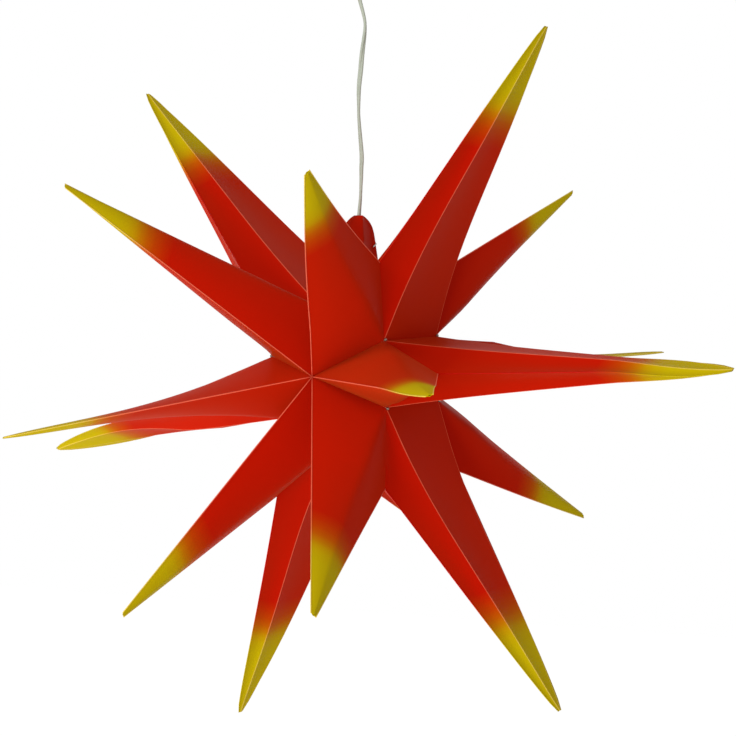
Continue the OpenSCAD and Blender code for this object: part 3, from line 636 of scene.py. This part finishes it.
def makeTab(side):
    bm = bmesh.new()
    foldAway = bm.verts.layers.float.new("foldAway")
    bmesh.ops.create_grid(bm, x_segments=tab["columns"], y_segments=tab["rows"], size=1)
    for vert in bm.verts:
        vert[foldAway] = tab["noFold"]
        vert.co = tabSpot((vert.co.y + 1) / 2, vert.co.x)
    bmesh.ops.recalc_face_normals(bm, faces=bm.faces)
    if sum(f.normal.x for f in bm.faces) < 0:
        bmesh.ops.reverse_faces(bm, faces=bm.faces)
    bmesh.ops.translate(bm, vec=(tab["film"], 0, 0), verts=bm.verts)
    bmesh.ops.solidify(bm, geom=list(bm.faces), thickness=tab["film"] * tab["skinShare"])
    if side < 0:
        bmesh.ops.scale(bm, vec=(-1, 1, 1), verts=bm.verts)
        bmesh.ops.reverse_faces(bm, faces=bm.faces)
    bmesh.ops.transform(bm, matrix=inStar, verts=bm.verts)
    piece = pieceFrom(bm, "topTab" + ("Right" if side > 0 else "Left"), "star", [filmFinish])
    piece.data.set_sharp_from_angle(angle=math.radians(tab["sharpAngle"]))


makeTab(1)
makeTab(-1)
print("tabs made")


# Finishes for the rigid pieces
def dress(node, material):
    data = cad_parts[node].data
    data.materials.clear()
    data.materials.append(material)


# The second tone of a metal or plastic is this share of the first
metal = {"second": 0.86, "grainRoughness": 0.15}
moulding = {"second": 0.96, "cloudRoughness": 0.1, "grainScale": 1400, "grainHeight": 0.05,
            "grainDepth": 0.0002}


def twoTones(finish, factor, colour, second):
    finish.feed("Base Color", finish.blend(factor, linear(*colour), linear(*[c * second for c in colour])))


def makeMetal(name, colour, rough, scale):
    finish = Finish(name, Metallic=1)
    grain = finish.noise(scale, 3)
    twoTones(finish, grain, colour, metal["second"])
    finish.feed("Roughness", grain * metal["grainRoughness"] + rough)
    return finish.material


def makePlastic(name, colour, rough, scale=60, **fixed):
    finish = Finish(name, **fixed)
    cloud = finish.noise(scale)
    twoTones(finish, cloud, colour, moulding["second"])
    finish.feed("Roughness", (cloud - 0.5) * moulding["cloudRoughness"] + rough)
    finish.bump(finish.noise(moulding["grainScale"]), moulding["grainHeight"], moulding["grainDepth"])
    return finish.material


steel = makeMetal("bareSteel", (196, 190, 184), 0.28, 700)
dullSteel = makeMetal("dullSteel", (150, 128, 116), 0.4, 900)
brass = makeMetal("contactBrass", (205, 172, 104), 0.3, 500)
nickel = makeMetal("nickelPlate", (205, 205, 200), 0.18, 300)
whitePlastic = makePlastic("whiteMoulding", (226, 224, 216), 0.32)
creamPlastic = makePlastic("creamMoulding", (214, 206, 186), 0.5)
opal = makePlastic("opalGlobe", (244, 242, 232), 0.25, 30, Coat_Weight=0.3)
boardWhite = makePlastic("solderMask", (226, 226, 220), 0.4)
phosphor = makePlastic("ledResin", (238, 214, 96), 0.3)
blackGlass = makePlastic("blackGlass", (24, 24, 27), 0.12)
finishes = {
    dullSteel: ("leaf_rivets",), steel: ("clip_front", "clip_back", "stop_screw", "anchor_screws"),
    brass: ("holder_thread", "holder_contact", "holder_terminals", "terminal_screws"),
    nickel: ("lamp_cap", "cap_contact"),
    whitePlastic: ("cord_stop", "holder_dome", "neck_screw", "holder_barrel", "lamp_collar", "rose_base",
                   "rose_cover"),
    creamPlastic: ("holder_insert", "cord_anchor", "terminal_block"),
    opal: ("lamp_globe",), boardWhite: ("led_board",), phosphor: ("led_chips",), blackGlass: ("cap_glass",)}
for material, nodes in finishes.items():
    for node in nodes:
        dress(node, material)
print("finishes set")

# Pale room: the floor far under the star keeps a share of its shade, and the world's level lights the star
room = {"floorDrop": 1.6, "floorSize": 9, "floorColour": (0.86, 0.86, 0.86, 1), "floorRoughness": 0.9,
        "floorGlow": 1.12, "shadowShare": 0.12, "white": (1, 1, 1, 1), "world": 0.43}


# The room is white to the camera, and to what mirrors it or is seen through
def directRays(nodes):
    path = nodes.make("ShaderNodeLightPath")
    seen, mirrored, through = [nodes.wire(path, "Is %s Ray" % kind)
                               for kind in ("Camera", "Glossy", "Transmission")]
    return seen.orMore(mirrored).orMore(through)


def makeFloorFinish():
    finish = Finish("paleFloor", Base_Color=room["floorColour"], Roughness=room["floorRoughness"])
    glow = finish.make("ShaderNodeEmission", Strength=room["floorGlow"])
    seen = directRays(finish) * (1 - room["shadowShare"])
    mix = finish.make("ShaderNodeMixShader", _0=seen, _1=finish.shader.outputs[0], _2=glow.outputs[0])
    finish.plug(mix.outputs[0], finish.tree.nodes["Material Output"].inputs["Surface"])
    return finish.material


def makeRoom():
    mesh = bpy.data.meshes.new("floor")
    bm = bmesh.new()
    bmesh.ops.create_grid(bm, x_segments=2, y_segments=2, size=room["floorSize"])
    bmesh.ops.translate(bm, vec=(0, 0, starCentre.z - room["floorDrop"]), verts=bm.verts)
    bm.to_mesh(mesh)
    bm.free()
    floor = bpy.data.objects.new("floor", mesh)
    scene.collection.objects.link(floor)
    mesh.materials.append(makeFloorFinish())

    scene.world = bpy.data.worlds.new("room")
    scene.world.use_nodes = True
    nodes = Nodes(scene.world.node_tree)
    air = nodes.tree.nodes["Background"]
    nodes.plug(room["white"], air.inputs["Color"])
    nodes.plug(directRays(nodes) * (1 - room["world"]) + room["world"], air.inputs["Strength"])


lamps = [{"name": "frontSoftbox", "at": (0.42, -2.92, -0.93), "size": 0.9, "watts": 37},
         {"name": "upperSoftbox", "at": (-0.37, -2.69, 0.86), "size": 0.7, "watts": 22},
         {"name": "lowSideFill", "at": (-1.21, -0.4, -1.68), "size": 0.9, "watts": 8}]


def makeLamps():
    for lamp in lamps:
        data = bpy.data.lights.new(lamp["name"], "AREA")
        data.size = lamp["size"]
        data.energy = lamp["watts"]
        light = bpy.data.objects.new(lamp["name"], data)
        scene.collection.objects.link(light)
        light.location = Vector(lamp["at"])
        light.rotation_mode = "QUATERNION"
        light.rotation_quaternion = (starCentre - light.location).to_track_quat("-Z", "Y")


makeRoom()
makeLamps()
print("room lit")
